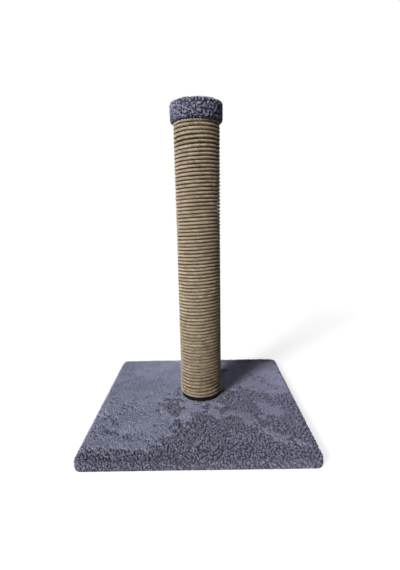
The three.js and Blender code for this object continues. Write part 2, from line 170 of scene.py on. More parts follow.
def wander(places, parts):
    """Noise added up from parts of (amount, width of its lumps, seed)."""
    return sum(amount * noise(places, size, seed) for amount, size, seed in parts)


def smooth_step(low, high, values):
    """0 below low, 1 above high, and a smooth rise between them."""
    share = np.clip((values - low) / (high - low), 0, 1)
    return share * share * (3 - 2 * share)


# How far a tuft strays from the middle of its cell, what share a way along its ridge counts beside one
# across it, and where the gap round it starts and is complete, in cells.
RIDGE_JITTER = 0.42
RIDGE_SLENDERNESS = 0.6
GAP_START = 0.16
GAP_FULL = 0.46


class Clumps:
    """The tufts that standing pile draws together into: short ridges, one in each cell of a grid."""

    def __init__(self, places, size, seed):
        count = len(places)
        nearest = np.full(count, np.inf)
        self.to_ridge = np.zeros((count, 2))
        self.heading = np.zeros((count, 2))
        self.tone = np.zeros(count)
        for step in itertools.product((-1, 0, 1), repeat=2):
            cell = np.floor(places / size) + step
            jitter = np.stack([lattice(cell, seed), lattice(cell, seed + 1)], axis=1)
            offset = (cell + 0.5 + RIDGE_JITTER * jitter) * size - places
            heading = headings(TURN * lattice(cell, seed + 2))
            along = (offset * heading).sum(axis=1)
            aside = offset - along[:, None] * heading
            distance = np.hypot(np.linalg.norm(aside, axis=1), along * RIDGE_SLENDERNESS)
            closer = distance < nearest
            nearest[closer] = distance[closer]
            self.to_ridge[closer] = (aside + RIDGE_SLENDERNESS * along[:, None] * heading)[closer]
            self.heading[closer] = heading[closer]
            self.tone[closer] = lattice(cell, seed + 3)[closer]
        self.gap = smooth_step(GAP_START, GAP_FULL, nearest / size)


# ---------------------------------------------------------------- meshes


def placed(name, data):
    """A new object in the scene."""
    made = bpy.data.objects.new(name, data)
    bpy.context.scene.collection.objects.link(made)
    return made


def finished_piece(name, mesh, material):
    """An object for a finished mesh, smooth shaded, riding on the one body."""
    mesh.shade_smooth()
    mesh.materials.append(material)
    piece = placed(name, mesh)
    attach(piece, "root")
    return piece


def new_piece(name, points, faces, material):
    """A piece from points and lists of the points round each face."""
    mesh = bpy.data.meshes.new(name)
    mesh.from_pydata(np.asarray(points).tolist(), [], [list(map(int, face)) for face in faces])
    mesh.validate()
    return finished_piece(name, mesh, material)


def set_map(piece, name, places):
    """Gives a piece a UV map: one (u, v) for each corner of each face."""
    layer = piece.data.uv_layers.new(name=name, do_init=False)
    layer.uv.foreach_set("vector", np.asarray(places, np.float32).ravel())


def set_tones(piece, name, tones):
    """Gives a piece three numbers for each point, which its material reads."""
    attribute = piece.data.attributes.new(name, "FLOAT_COLOR", "POINT")
    rows = np.ones((len(tones), 4), np.float32)
    rows[:, :3] = tones
    attribute.data.foreach_set("color", rows.ravel())


def band_faces(columns, rows, closed_columns=True, closed_rows=False):
    """The four-cornered faces between rows of columns points, each row listed in turn."""
    across = np.arange(columns if closed_columns else columns - 1)
    along = np.arange(rows if closed_rows else rows - 1)
    row, column = [grid.ravel() for grid in np.meshgrid(along, across, indexing="ij")]
    next_row = (row + 1) % rows
    next_column = (column + 1) % columns
    corners = ((row, column), (next_row, column), (next_row, next_column), (row, next_column))
    return np.stack([at_row * columns + at_column for at_row, at_column in corners], axis=1)


# ---------------------------------------------------------------- node materials

# Noise scales are lumps per metre. spread takes the lowest and highest value before what they become.


class Nodes:
    """Short calls for building one material."""

    def __init__(self, name):
        self.material = bpy.data.materials.new(name)
        self.material.use_nodes = True
        self.tree = self.material.node_tree
        self.shader = self.tree.nodes["Principled BSDF"]

    @classmethod
    def of_tree(cls, tree):
        """The same calls for a node tree that isn't a material's."""
        made = cls.__new__(cls)
        made.tree = tree
        return made

    def node(self, kind, settings=None, **inputs):
        made = self.tree.nodes.new(kind)
        for key, value in (settings or {}).items():
            setattr(made, key, value)
        for key, value in inputs.items():
            self.put(made.inputs[key.replace("_", " ")], value)
        return made

    def put(self, socket, value):
        if isinstance(value, bpy.types.NodeSocket):
            self.tree.links.new(value, socket)
        else:
            socket.default_value = value

    def shine(self, **values):
        """Sets the surface's own values, and returns the finished material."""
        for key, value in values.items():
            self.put(self.shader.inputs[key.replace("_", " ")], value)
        return self.material

    def object_place(self):
        return self.node("ShaderNodeTexCoord").outputs["Object"]

    def stretched(self, place, scale):
        return self.node("ShaderNodeMapping", Vector=place, Scale=scale).outputs[0]

    def noise(self, place, scale, detail=2.0, roughness=0.5):
        found = self.node(
            "ShaderNodeTexNoise", Vector=place, Scale=scale, Detail=detail, Roughness=roughness
        )
        return found.outputs[0]

    def spread(self, value, low, high, to_low=0.0, to_high=1.0):
        """value from low..high drawn out to to_low..to_high."""
        made = self.node("ShaderNodeMapRange", Value=value)
        for key, number in zip(("From Min", "From Max", "To Min", "To Max"), (low, high, to_low, to_high)):
            self.put(made.inputs[key], number)
        return made.outputs[0]

    def math(self, operation, first, second):
        made = self.node("ShaderNodeMath", {"operation": operation})
        self.put(made.inputs[0], first)
        self.put(made.inputs[1], second)
        return made.outputs[0]

    def mix(self, share, first, second, blend="MIX"):
        made = self.node("ShaderNodeMix", {"data_type": "RGBA", "blend_type": blend})
        self.put(made.inputs[0], share)
        self.put(made.inputs[6], first)
        self.put(made.inputs[7], second)
        return made.outputs[2]

    def bump(self, height, distance, strength=1.0):
        made = self.node("ShaderNodeBump", Height=height, Distance=distance, Strength=strength)
        return made.outputs[0]

    def tones(self, name):
        """The three numbers that each point carries under a name."""
        found = self.node("ShaderNodeAttribute", {"attribute_name": name}).outputs["Color"]
        return self.node("ShaderNodeSeparateColor", Color=found).outputs

    def mix_shaders(self, share, first, second):
        """The first shader where share is 0, and the second where it is 1."""
        made = self.node("ShaderNodeMixShader")
        for socket, value in zip(made.inputs, (share, first.outputs[0], second.outputs[0])):
            self.put(socket, value)
        return made.outputs[0]


def colour(red, green, blue):
    """A colour as a paint chart gives it, 0..255, turned into the linear light that a shader takes."""
    shares = (np.array([red, green, blue]) / 255).clip(0, 1)
    linear = np.where(shares <= 0.04045, shares / 12.92, ((shares + 0.055) / 1.055) ** 2.4)
    return (*linear.tolist(), 1.0)


def grey(level):
    """A grey of so much linear light."""
    return (level, level, level, 1.0)


def pile_material():
    """Blue-grey plush locks in their own tones: painted shade towards the root, painted sheen where
    brushed.
    """
    m = Nodes("plush_pile")
    nap, height, tint = m.tones("lock")
    # Painted sheen: brushed pile, where nap is 1, gets paler tips and roots than standing pile.
    tip = m.mix(nap, colour(160, 161, 182), colour(189, 192, 217))
    root = m.mix(nap, colour(38, 37, 52), colour(158, 161, 185))
    # Painted shade: height is dark at the root and in the gaps between clumps, and light at the tip.
    shade = m.mix(m.spread(height, 0.05, 0.9), root, tip)
    tinted = m.mix(tint, m.mix(1.0, shade, colour(214, 211, 220), "MULTIPLY"), shade)
    fibres = m.noise(m.object_place(), 2600.0, 1.0)
    worn = m.mix(m.spread(fibres, 0.35, 0.7, 0.0, 0.2), tinted, colour(176, 178, 198))
    return m.shine(
        Base_Color=worn,
        Roughness=m.spread(fibres, 0.3, 0.7, 0.82, 0.95),
        Sheen_Weight=0.12,
        Sheen_Roughness=0.55,
        Sheen_Tint=colour(190, 194, 216),
        Specular_IOR_Level=0.12,
        Normal=m.bump(fibres, 0.15 * MM, 0.6),
    )


def cloth_material():
    """The knitted ground of the plush and its pressed pile, seen in the hem and between the locks."""
    m = Nodes("plush_cloth")
    place = m.object_place()
    tufts = m.noise(place, 620.0, 3.0, 0.6)
    patches = m.noise(place, 38.0, 3.0)
    fine = m.noise(place, 2400.0, 1.0)
    # Darker than the locks: partly the ground's own colour, partly painted shade for where it shows
    # between them.
    shade = m.mix(m.spread(tufts, 0.35, 0.68), colour(56, 55, 72), colour(104, 105, 124))
    worn = m.mix(m.spread(patches, 0.4, 0.65, 0.0, 0.45), shade, colour(98, 98, 116))
    height = m.math("ADD", tufts, m.math("MULTIPLY", fine, 0.3))
    return m.shine(
        Base_Color=worn,
        Roughness=m.spread(tufts, 0.3, 0.7, 0.96, 0.86),
        Sheen_Weight=0.2,
        Sheen_Roughness=0.6,
        Sheen_Tint=colour(180, 184, 205),
        Specular_IOR_Level=0.1,
        Normal=m.bump(height, 0.8 * MM, 0.8),
    )


def rope_material():
    """Fine jute yarns along the rope, uneven in tone and by strand, with painted shade in the lay, between
    rows and at the foot.
    """
    m = Nodes("rope_jute")
    place = m.node("ShaderNodeUVMap", {"uv_map": "yarn"}).outputs[0]
    yarns = m.noise(m.stretched(place, (70.0, 2300.0, 1.0)), 1.0, 3.0, 0.6)
    threads = m.noise(m.stretched(place, (260.0, 5200.0, 1.0)), 1.0, 1.0)
    lengths = m.noise(m.stretched(place, (9.0, 60.0, 1.0)), 1.0, 2.0)
    crest, strand, facing = m.tones("strand")
    fibre = m.mix(m.spread(yarns, 0.32, 0.66), colour(172, 150, 118), colour(250, 234, 206))
    pale = m.mix(m.spread(threads, 0.55, 0.78, 0.0, 0.55), fibre, colour(240, 228, 206))
    greyed = m.mix(m.spread(lengths, 0.42, 0.66, 0.0, 0.4), pale, colour(192, 178, 156))
    toned = m.mix(strand, m.mix(1.0, greyed, colour(214, 207, 198), "MULTIPLY"), greyed)
    # Painted shade: the grooves of the lay are darkened.
    laid = m.mix(m.spread(crest, 0.22, 0.94, 0.95, 0.0), toned, colour(66, 47, 25))
    # Painted shade between the rows, where the rope faces its neighbours, uneven along the rope.
    closeness = m.noise(m.stretched(place, (48.0, 20.0, 1.0)), 1.0, 1.0)
    packing = m.spread(closeness, 0.36, 0.6, 0.5, 0.98)
    between = m.math("MULTIPLY", m.spread(facing, 0.5, 0.96), packing)
    shaded = m.mix(between, laid, colour(58, 41, 22))
    uneven = m.noise(m.stretched(place, (170.0, 110.0, 1.0)), 1.0, 3.0, 0.6)
    patches = m.mix(m.spread(uneven, 0.36, 0.62), grey(0.58), grey(1.25))
    mottled = m.mix(1.0, shaded, patches, "MULTIPLY")
    # Painted shade: the rope is darkened towards its foot.
    up = m.node("ShaderNodeSeparateXYZ", Vector=m.object_place()).outputs["Z"]
    darker_towards_foot = m.mix(m.spread(up, 0.03, 0.2, 0.9, 0.0), mottled, colour(222, 219, 218), "MULTIPLY")
    height = m.math("ADD", yarns, m.math("MULTIPLY", threads, 0.5))
    return m.shine(
        Base_Color=darker_towards_foot,
        Roughness=m.spread(yarns, 0.3, 0.7, 0.9, 0.72),
        Sheen_Weight=0.08,
        Sheen_Roughness=0.5,
        Specular_IOR_Level=0.25,
        Normal=m.bump(height, 0.35 * MM, 0.9),
    )


def fuzz_material():
    """Single stray jute fibres, paler than the rope because light passes them on all sides."""
    m = Nodes("rope_fuzz")
    tone = m.noise(m.object_place(), 90.0)
    return m.shine(
        Base_Color=m.mix(m.spread(tone, 0.35, 0.65), colour(150, 126, 90), colour(214, 196, 160)),
        Roughness=m.spread(tone, 0.3, 0.7, 0.7, 0.9),
        Specular_IOR_Level=0.2,
    )


def plastic_material():
    """Moulded black plastic with a fine spark finish and a little dust."""
    m = Nodes("black_plastic")
    place = m.object_place()
    grain = m.noise(place, 1500.0, 2.0)
    dust = m.noise(place, 70.0, 4.0, 0.65)
    return m.shine(
        Base_Color=m.mix(m.spread(dust, 0.45, 0.75, 0.0, 0.35), colour(11, 11, 14), colour(28, 27, 31)),
        Roughness=m.spread(dust, 0.35, 0.7, 0.45, 0.65),
        Specular_IOR_Level=0.2,
        Normal=m.bump(grain, 0.06 * MM, 0.5),
    )


def board_material():
    """Raw particle board: pressed chips of mixed tone."""
    m = Nodes("particle_board")
    place = m.object_place()
    cells = m.node("ShaderNodeTexVoronoi", Vector=m.stretched(place, (260.0, 420.0, 420.0)), Scale=1.0)
    chips = m.node("ShaderNodeSeparateColor", Color=cells.outputs["Color"]).outputs[0]
    dust = m.noise(place, 900.0, 2.0)
    chip = m.mix(chips, colour(150, 118, 78), colour(205, 176, 132))
    return m.shine(
        Base_Color=m.mix(m.spread(dust, 0.3, 0.7, 0.0, 0.4), chip, colour(120, 92, 60)),
        Roughness=m.spread(dust, 0.3, 0.7, 0.7, 0.9),
        Normal=m.bump(cells.outputs["Distance"], 0.3 * MM, 0.5),
    )


def tube_material():
    """Grey-brown paper tube, wound from a spiral strip, with flecked fibres."""
    m = Nodes("paper_tube")
    place = m.object_place()
    wave = m.node(
        "ShaderNodeTexWave", {"bands_direction": "Z"}, Vector=place, Scale=4.0, Distortion=0.6
    ).outputs[1]
    flecks = m.noise(m.stretched(place, (300.0, 300.0, 900.0)), 1.0, 3.0)
    paper = m.mix(m.spread(flecks, 0.35, 0.7), colour(128, 104, 78), colour(168, 144, 112))
    return m.shine(
        Base_Color=m.mix(m.spread(wave, 0.9, 1.0, 0.0, 0.5), paper, colour(96, 76, 54)),
        Roughness=m.spread(flecks, 0.3, 0.7, 0.75, 0.92),
        Normal=m.bump(flecks, 0.15 * MM, 0.5),
    )


def liner_material():
    """Dark needled felt: short crossing fibres with some lighter ones."""
    m = Nodes("felt_liner")
    place = m.object_place()
    along = m.noise(m.stretched(place, (240.0, 1500.0, 700.0)), 1.0, 3.0)
    across = m.noise(m.stretched(place, (1500.0, 240.0, 700.0)), 1.0, 3.0)
    fibres = m.math("MAXIMUM", along, across)
    patches = m.noise(place, 30.0)
    felt = m.mix(m.spread(fibres, 0.5, 0.75), colour(34, 34, 38), colour(86, 86, 92))
    return m.shine(
        Base_Color=m.mix(m.spread(patches, 0.4, 0.65, 0.0, 0.3), felt, colour(58, 58, 64)),
        Roughness=m.spread(fibres, 0.4, 0.8, 0.95, 0.85),
        Sheen_Weight=0.15,
        Normal=m.bump(fibres, 0.3 * MM, 0.8),
    )


def metal_material(name, dull, bright, roughness):
    """Plated metal: drawn lines, a clouded coat and small dull spots."""
    m = Nodes(name)
    place = m.object_place()
    drawn = m.noise(m.stretched(place, (2200.0, 2200.0, 300.0)), 1.0, 2.0)
    clouds = m.noise(place, 160.0, 3.0)
    return m.shine(
        Base_Color=m.mix(m.spread(clouds, 0.35, 0.7), dull, bright),
        Metallic=1.0,
        Roughness=m.spread(clouds, 0.3, 0.7, roughness + 0.12, roughness),
        Normal=m.bump(drawn, 0.03 * MM, 0.4),
    )


# ---------------------------------------------------------------- plush: the cloth


def outline_places(distance, core, corner):
    """Points of a square's core and the way out from them, at a distance round its rounded outline.

    The outline starts at the left end of the front side and runs counter-clockwise, seen from above.
    """
    side = 2 * core
    arc = corner * HALF_TURN / 2
    lap = np.mod(distance, 4 * (side + arc))
    number = np.floor(lap / (side + arc))
    local = lap - number * (side + arc)
    straight = np.minimum(local, side)
    heading = (number - 1) * HALF_TURN / 2
    out = headings(heading)
    start = core * out + (straight - core)[:, None] * quarter_turned(out)
    turned = heading + np.maximum(local - side, 0) / corner
    return start, headings(turned)


def arc_points(centre_out, centre_up, radius, start, end, steps):
    """Points (out, up) along an arc, with angles measured from straight out."""
    angles = np.radians(np.linspace(start, end, steps + 1))
    return [(centre_out + radius * math.cos(a), centre_up + radius * math.sin(a)) for a in angles]


def wrapped_cloth(name, starts, cores, outs, section, material):
    """Cloth round a board: each column runs from its start over its core, then along the section.

    section is the closed outline of the cloth's thickness as (share of the way to the core, out, up).
    """
    share, out, up = np.array(section).T
    plan = (
        starts[None] * (1 - share)[:, None, None]
        + cores[None] * share[:, None, None]
        + outs[None] * out[:, None, None]
    )
    heights = np.broadcast_to(up[:, None], plan.shape[:2])
    points = np.concatenate([plan, heights[..., None]], axis=2).reshape(-1, 3)
    faces = band_faces(len(starts), len(section), closed_rows=True)
    return new_piece(name, points, faces, material)


def cloth_section(top, side, hem_inner, bottom, top_edge, hem_edge, thickness, flat_steps):
    """The closed section of cloth over a board's edge and under it, as (share, out, up)."""
    shares = np.linspace(0, 1, flat_steps + 1)
    section = [(share, 0.0, top) for share in shares]
    section += [(1.0, *p) for p in arc_points(side - top_edge, top - top_edge, top_edge, 90, 0, 5)]
    wall = np.linspace(top - top_edge, bottom + hem_edge, 6)[1:-1]
    section += [(1.0, side, up) for up in wall]
    section += [(1.0, *p) for p in arc_points(side - hem_edge, bottom + hem_edge, hem_edge, 0, -90, 4)]
    hem = np.linspace(side - hem_edge, hem_inner, 11)[1:]
    section += [(1.0, out, bottom) for out in hem]
    hem_top = bottom + HEM_THICKNESS - FLOOR_GAP
    section += [(1.0, out, hem_top) for out in hem[::-1][:-2]]
    inside = side - thickness
    inner_top = top - thickness
    section += [(1.0, inside, up) for up in np.linspace(hem_top, inner_top, 5)]
    section += [(share, 0.0, inner_top) for share in shares[::-1]]
    return section


def base_cloth(material):
    """The base's plush ground: over the board, down its sides and 32 mm in under it."""
    distances = np.arange(BASE_COLUMNS) * BASE_LAP / BASE_COLUMNS
    cores, outs = outline_places(distances, BASE_CORE, BASE_CORNER)
    starts = POST + BOLT_HOLE * unit(cores - POST)
    top = BASE_TOP - BASE_PILE
    side = BASE_CORNER - BASE_PILE
    hem_inner = BASE_CORNER - HEM_WIDTH
    section = cloth_section(
        top, side, hem_inner, FLOOR_GAP, CLOTH_EDGE, HEM_EDGE, CLOTH, BASE_TOP_STEPS
    )
    piece = wrapped_cloth("base_plush", starts, cores, outs, section, material)
    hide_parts("base_cover")
    return piece


def cap_cloth(material):
    """The cap's plush ground: a disc drawn down round the board and gathered under it."""
    outs = headings(np.arange(CAP_COLUMNS) * TURN / CAP_COLUMNS)
    middle = np.tile(POST, (CAP_COLUMNS, 1))
    top = cap_high.z - CAP_PILE
    side = CAP_RADIUS - CAP_PILE
    bottom = cap_low.z
    shoulder = (side - CAP_TOP_EDGE, top - CAP_TOP_EDGE)
    tuck = (side - CAP_HEM_EDGE, bottom + CAP_HEM_EDGE)
    outline = [(out, top) for out in np.linspace(PINHOLE, shoulder[0], 20)]
    outline += arc_points(*shoulder, CAP_TOP_EDGE, 90, 0, 5)
    outline += [(side, up) for up in np.linspace(shoulder[1], tuck[1], 5)[1:-1]]
    outline += arc_points(*tuck, CAP_HEM_EDGE, 0, -90, 4)
    hem = np.linspace(tuck[0], CAP_HEM_INNER, 8)[1:]
    hem_top = bottom + CAP_HEM_THICKNESS
    outline += [(out, bottom) for out in hem]
    outline += [(out, hem_top) for out in hem[::-1]]
    outline += [(side - CAP_CLOTH, up) for up in np.linspace(hem_top, shoulder[1], 5)[:-1]]
    outline += arc_points(*shoulder, CAP_TOP_EDGE - CAP_CLOTH, 0, 90, 5)
    outline += [(out, top - CAP_CLOTH) for out in np.linspace(shoulder[0], PINHOLE, 14)[1:]]
    section = [(1.0, out, up) for out, up in outline]
    piece = wrapped_cloth("cap_plush", middle, middle, outs, section, material)
    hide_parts("cap_cover")
    return piece


# ---------------------------------------------------------------- plush: the nap of the base

# Where hands and paws have brushed the pile flat, and where it gets a painted sheen, in mm: from x, y to
# x, y, half width, how thoroughly.
BRUSHED = (
    (-150, 200, -150, 70, 80, 1.2),
    (-60, 200, -80, 70, 66, 1.2),
    (10, 200, -20, 90, 40, 1.1),
    (-170, 50, -150, 20, 40, 0.9),
    (-90, 50, -80, 10, 30, 0.86),
    (-180, 0, -176, -130, 40, 0.68),
    (-120, 0, -100, -120, 44, 0.7),
    (-134, -74, -128, -112, 17, 0.98),
    (-97, -88, -94, -114, 13, 0.95),
    (-62, -66, -66, -120, 20, 0.66),
    (-164, -152, -90, -160, 13, 0.95),
    (-36, -2, -12, -44, 22, 0.7),
    (-30, -60, -14, -96, 15, 0.9),
    (24, -28, 44, -33, 8, 0.8),
    (28, -58, 48, -80, 11, 1.05),
    (62, -56, 84, -74, 8, 0.66),
    (84, -70, 96, -92, 10, 0.95),
    (100, -100, 140, -146, 9, 0.62),
    (140, -146, 190, -178, 11, 0.6),
    (130, -28, 148, -66, 13, 0.98),
    (116, -72, 126, -80, 7, 0.95),
    (45, -140, 70, -150, 14, 0.62),
    (60, 190, 190, 176, 30, 0.74),
    (160, 150, 184, 40, 28, 0.8),
    (70, 160, 150, 110, 34, 0.84),
    (60, 60, 110, 120, 34, 0.86),
    (92, 80, 160, 26, 26, 0.72),
)
# Where it stands up again, in the same form.
RUFFLED = (
    (-58, -24, -42, -50, 16, 1.0),
    (-4, -96, 20, -130, 18, 1.0),
    (34, -120, 60, -190, 44, 0.9),
    (110, 2, 190, -34, 18, 0.8),
    (152, -98, 196, -114, 18, 0.9),
    (-122, -138, -112, -141, 7, 0.7),
    (-168, -76, -158, -90, 8, 0.6),
    (-168, -120, -160, -124, 6, 0.6),
    (-44, 56, -46, 20, 4, 0.7),
)
# Where the pile is painted darker, a painted shade as of pile leaning away from the light, in the same
# form.
PAINTED_NAP_SHADE = (
    (70, 200, 196, 190, 40, 0.9),
    (130, 150, 190, 150, 30, 0.6),
    (120, -170, 150, 120, 80, 0.4),
)
FRONT_RUFFLE = 25
EDGE_RUFFLE = 9
# How wide the lumps are that make the strokes' outlines uneven, and how far these shift them.
STROKE_LUMPS = 16 * MM
STROKE_SHIFT = 6 * MM
# The small uneven spots in the nap, as wander takes them.
SPECKLE = ((1.0, 3.2 * MM, 7), (0.5, 10 * MM, 8))


def stroke_cover(places, strokes):
    """How fully the strokes cover each place, from 0 to 1 or a little more."""
    cover = np.zeros(len(places))
    for x0, y0, x1, y1, half_width, strength in strokes:
        start = np.array([x0, y0]) * MM
        way = np.array([x1, y1]) * MM - start
        share = np.clip((places - start) @ way / (way @ way), 0, 1)
        distance = np.linalg.norm(places - start - share[:, None] * way, axis=1)
        cover = np.maximum(cover, strength * (1 - smooth_step(0.35, 1.65, distance / (half_width * MM))))
    return cover


def base_nap(places):
    """How flat the base's pile lies at each plan place, and how far it is parted there.

    The first is 1 where it is brushed smooth and 0 where it stands in clumps, and the second is
    above 0 at small spots in a brushed part, where the locks are shorter and painted shade darkens them.
    """
    shift = np.stack([noise(places, STROKE_LUMPS, seed) for seed in (3, 4)], axis=1)
    moved = places + STROKE_SHIFT * shift
    nap = stroke_cover(moved, BRUSHED) * (1 - stroke_cover(moved, RUFFLED))
    front = (moved[:, 1] + BASE_HALF) / MM
    nap *= smooth_step(0.7 * FRONT_RUFFLE, 1.3 * FRONT_RUFFLE, front)
    edge = (BASE_HALF - np.abs(places).max(axis=1)) / MM
    nap *= 0.7 + 0.3 * smooth_step(0, EDGE_RUFFLE, edge)
    speckle = wander(places, SPECKLE)
    flat = smooth_step(0.3, 0.7, nap + 0.55 * speckle)
    return flat, (1 - flat) * np.clip(1.4 * nap, 0, 1)


# ---------------------------------------------------------------- plush: the pile

LOCK_SIDES = 3
LOCK_POINTS = 2 * LOCK_SIDES + 1
# How light a lock's middle ring is in the painted shade along it, between its dark root and its tip.
MIDDLE_TONE = 0.62
CLUMP_SEED = 11
# What share of its length a full press takes off a lock, and how far it leans it over. Leans are in
# radians.
PRESS_SHORTENS = 0.5
PRESS_LEANS = 0.4
LEAN_SPREAD = 0.10
# How far headings stray where the pile lies flat, and how much further where it stands.
FLAT_STRAY = 0.10
UPRIGHT_STRAY = 0.35
# The share of the way to its ridge that a lock goes by its middle, and from there to its tip.
MIDDLE_DRAWN = 0.4
TIP_DRAWN = 0.6
LOCK_SPACING = 1.75 * MM
ROOT_DEPTH = 0.2 * MM
# In a look, gap_shade is the painted shade in gaps between clumps, and bloom adds painted sheen.
BASE_LOOK = {
    "length": 5.6 * MM,
    "clump": 4.9 * MM,
    "gather": 0.7,
    "unevenness": 0.12,
    "dip": 0.4,
    "gap_shade": 0.75,
    "tone": 0.5,
    "bloom": 0.0,
    "upright_lean": 0.75,
    "flat_lean": 0.92,
    "combed": 0.3,
    "root_radius": 1.15 * MM,
    "middle_radius": 0.9 * MM,
}
SIDE_LOOK = {**BASE_LOOK, "length": 4.4 * MM, "gap_shade": 0.7, "combed": 0.5}
CAP_LOOK = {
    **BASE_LOOK,
    "length": 5.6 * MM,
    "clump": 6.0 * MM,
    "gather": 0.8,
    "dip": 0.26,
    "gap_shade": 0.85,
    "tone": 0.8,
    "bloom": 0.1,
    "upright_lean": 0.95,
    "combed": 0.0,
    "middle_radius": 1.0 * MM,
}


def lock_faces():
    """The faces of one lock, which has three root points, three middle points and a tip."""
    sides = range(LOCK_SIDES)
    following = [(side + 1) % LOCK_SIDES for side in sides]
    lower = [(side, n, LOCK_SIDES + n, LOCK_SIDES + side) for side, n in zip(sides, following)]
    upper = [(LOCK_SIDES + side, LOCK_SIDES + n, 2 * LOCK_SIDES) for side, n in zip(sides, following)]
    root = [tuple(reversed(sides))]
    return lower + upper + root


def lock_map():
    """Where the corners of one lock's faces lie on its own unit square of the UV map."""
    edge, low, middle, high = 0.03, 0.06, 0.5, 0.94
    step = 0.26
    places = []
    for side in range(LOCK_SIDES):
        left, right = edge + side * step, edge + (side + 1) * step
        places += [(left, low), (right, low), (right, middle), (left, middle)]
    for side in range(LOCK_SIDES):
        left, right = edge + side * step, edge + (side + 1) * step
        places += [(left, middle), (right, middle), ((left + right) / 2, high)]
    places += [(0.85, high), (0.97, high), (0.91, 0.7)]
    return np.array(places)


def pile_piece(name, points, tones, material):
    """One piece of many locks, from their points, (locks, 7, 3), and their tones."""
    count = len(points)
    pattern = lock_faces()
    corners = np.array([corner for face in pattern for corner in face])
    loops = (corners[None] + LOCK_POINTS * np.arange(count)[:, None]).ravel()
    totals = np.tile([len(face) for face in pattern], count)
    starts = np.concatenate([[0], np.cumsum(totals)[:-1]])
    mesh = bpy.data.meshes.new(name)
    mesh.vertices.add(LOCK_POINTS * count)
    mesh.vertices.foreach_set("co", points.astype(np.float32).ravel())
    mesh.loops.add(len(loops))
    mesh.loops.foreach_set("vertex_index", loops.astype(np.int32))
    mesh.polygons.add(len(totals))
    mesh.polygons.foreach_set("loop_start", starts.astype(np.int32))
    mesh.update(calc_edges=True)
    piece = finished_piece(name, mesh, material)
    set_tones(piece, "lock", tones.reshape(-1, 3))
    across = math.ceil(math.sqrt(count))
    cell = np.stack([np.arange(count) % across, np.arange(count) // across], axis=1)
    set_map(piece, "OFBake", (cell[:, None] + lock_map()[None]) / across)
    return piece


class Surface(NamedTuple):
    """Roots on a surface, the way out there, its two directions and the places along them."""

    roots: np.ndarray
    normals: np.ndarray
    across: np.ndarray
    along: np.ndarray
    places: np.ndarray

    def spread(self, pairs):
        """Directions in space from (across, along) pairs."""
        return pairs[:, :1] * self.across + pairs[:, 1:] * self.along


def joined(surfaces):
    """Several surfaces as one."""
    return Surface(*map(np.concatenate, zip(*surfaces)))


def put_ring(points, ring, centre, sideways, other, radius, phase=0.0):
    """Sets one ring of every lock's points, round its centre and across two directions."""
    for corner in range(LOCK_SIDES):
        angle = np.atleast_1d(phase + corner * TURN / LOCK_SIDES)[:, None]
        offset = np.cos(angle) * sideways + np.sin(angle) * other
        points[:, ring * LOCK_SIDES + corner] = centre + radius * offset


def grow_locks(surface, nap, lean_way, look, press=0.0, parted=0.0):
    """The points and tones of a lock of pile at each root of a surface.

    nap says how flat each lock lies and lean_way which way, look holds the sizes of this pile,
    press says how far something has squeezed it down, and parted where its roots show.
    """
    count = len(surface.roots)
    upright = 1 - nap
    clumps = Clumps(surface.places, look["clump"], CLUMP_SEED)
    gap = np.maximum(clumps.gap * upright, parted)
    half = 0.5 * look["length"] * (1 + look["unevenness"] * rng.uniform(-1, 1, count))
    half *= (1 - look["dip"] * gap) * (1 - PRESS_SHORTENS * press)
    lean = look["upright_lean"] + (look["flat_lean"] - look["upright_lean"]) * nap + PRESS_LEANS * press
    lean += LEAN_SPREAD * rng.standard_normal(count)
    stray = (FLAT_STRAY + UPRIGHT_STRAY * upright)[:, None] * rng.standard_normal((count, 2))
    heading = lean_way * (look["combed"] + (1 - look["combed"]) * nap)[:, None]
    way = surface.spread(unit(heading + clumps.heading * upright[:, None] + stray))
    drawn = surface.spread(clumps.to_ridge * (look["gather"] * upright)[:, None])
    bends = ((lean * (0.3 + 0.2 * nap), MIDDLE_DRAWN), (lean * (1.5 - 0.3 * nap), TIP_DRAWN))
    places = [surface.roots]
    for tilt, share in bends:
        rise = surface.normals * (half * np.cos(tilt))[:, None]
        places.append(places[-1] + rise + way * (half * np.sin(tilt))[:, None] + share * drawn)
    root, middle, tip = places
    phase = rng.uniform(0, TURN, count)
    points = np.empty((count, LOCK_POINTS, 3))
    rings = ((root, middle - root, look["root_radius"]), (middle, tip - middle, look["middle_radius"]))
    for ring, (centre, ahead, radius) in enumerate(rings):
        sideways = unit(np.cross(ahead, surface.across + 0.3 * surface.along))
        other = np.cross(unit(ahead), sideways)
        put_ring(points, ring, centre, sideways, other, radius, phase)
    points[:, -1] = tip
    # Painted shade: locks darken towards the root, in the gaps between clumps and where the pile is
    # parted.
    lit = 1 - look["gap_shade"] * gap
    tones = np.empty((count, LOCK_POINTS, 3))
    # How far each lock takes the paler colours of brushed pile, a painted sheen.
    tones[:, :, 0] = np.minimum(nap + look["bloom"], 1)[:, None]
    tones[:, :LOCK_SIDES, 1] = 0.0
    tones[:, LOCK_SIDES:-1, 1] = (MIDDLE_TONE * lit)[:, None]
    tones[:, -1, 1] = lit
    own = 0.5 * rng.standard_normal(count) * (0.2 + 0.5 * upright)
    tones[:, :, 2] = np.clip(look["tone"] + own + 0.45 * upright * clumps.tone, 0, 1)[:, None]
    return points, tones


